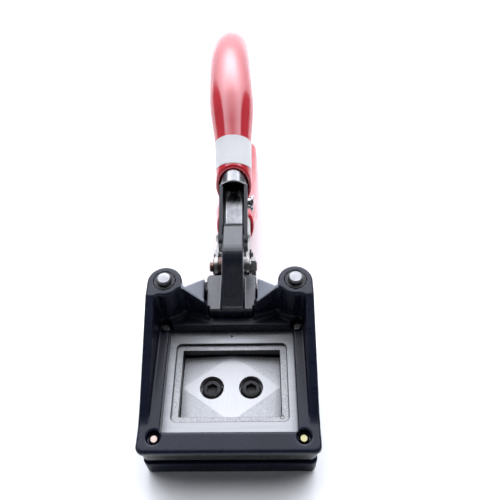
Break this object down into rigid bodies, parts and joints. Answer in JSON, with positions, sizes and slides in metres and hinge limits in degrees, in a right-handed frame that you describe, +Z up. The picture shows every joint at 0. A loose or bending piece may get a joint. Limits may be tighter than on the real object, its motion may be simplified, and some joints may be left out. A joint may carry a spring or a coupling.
{
  "type": "photo punch",
  "caption": "Plier-type hand punch that cuts a small portrait picture: a framed die window over a rising punch plate, worked by two red-gripped handles.",
  "frame": {"origin": "middle of the picture window, at the underside of the base", "axes": "+Z up, +Y from the open front towards the handles, +X to the right seen from the front"},
  "size_m": [0.064, 0.2141, 0.1034],
  "materials": {
    "casting_paint": "semi-gloss black paint over a casting",
    "ground_steel": "satin ground",
    "black_oxide": "black oxide",
    "turned_steel": "bright turned",
    "zinc_plate": "zinc plated",
    "copper_plate": "dull copper plated",
    "chrome_plate": "bright plated",
    "red_vinyl": "glossy dipped vinyl",
    "white_paper": "matt white paper"
  },
  "bodies": {
    "head": {"frame_casting": "casting_paint", "die_plate": "ground_steel", "die_screw_front_left": "zinc_plate", "die_screw_front_right": "zinc_plate", "die_screw_rear_left": "zinc_plate", "die_screw_rear_right": "zinc_plate", "guide_bush_left": "black_oxide", "guide_bush_right": "black_oxide", "neck_screw_left": "black_oxide", "neck_screw_right": "black_oxide", "neck_casting": "casting_paint", "return_spring_left": "turned_steel", "return_spring_right": "turned_steel", "handle_tube": "turned_steel", "handle_rivet": "zinc_plate", "handle_pin": "zinc_plate", "lock_stud": "chrome_plate", "upper_grip": "red_vinyl", "paper_label": "white_paper", "main_pin": "copper_plate", "main_nut": "zinc_plate", "main_washer_left": "zinc_plate", "main_washer_right": "zinc_plate", "pivot_spacer_left": "zinc_plate", "pivot_spacer_right": "zinc_plate"},
    "base": {"base_casting": "casting_paint", "punch_block": "ground_steel", "punch_screw_left": "black_oxide", "punch_screw_right": "black_oxide", "guide_post_left": "turned_steel", "guide_post_right": "turned_steel", "link_pin": "turned_steel", "link_pin_clip": "black_oxide"},
    "links": {"lift_link_left": "zinc_plate", "lift_link_right": "zinc_plate"},
    "lever": {"lower_lever": "zinc_plate", "lower_grip": "red_vinyl", "lift_pin": "turned_steel", "lift_pin_clip": "black_oxide"}
  },
  "joints": [
    {"name": "lever_hinge", "type": "hinge", "parent": "head", "child": "lever", "pos_m": [0, 0.0475, 0.026], "axis": [1, 0, 0], "range_deg": [0, 20]},
    {"name": "base_slide", "type": "slide", "parent": "head", "child": "base", "axis": [0, 0, 1], "range_m": [0, 0.003], "stiffness_N_per_m": 8800, "springref_m": -0.006, "deforming": ["return_spring_left", "return_spring_right"]},
    {"name": "link_hinge", "type": "hinge", "parent": "base", "child": "links", "pos_m": [0, 0.05574, 0.005], "axis": [1, 0, 0], "range_deg": [-1.7, 0]}
  ],
  "couplings": [
    {"joint": "lever_hinge", "follows": "base_slide", "rad_per_m": 116.3},
    {"joint": "link_hinge", "follows": "base_slide", "rad_per_m": -9.77}
  ]
}
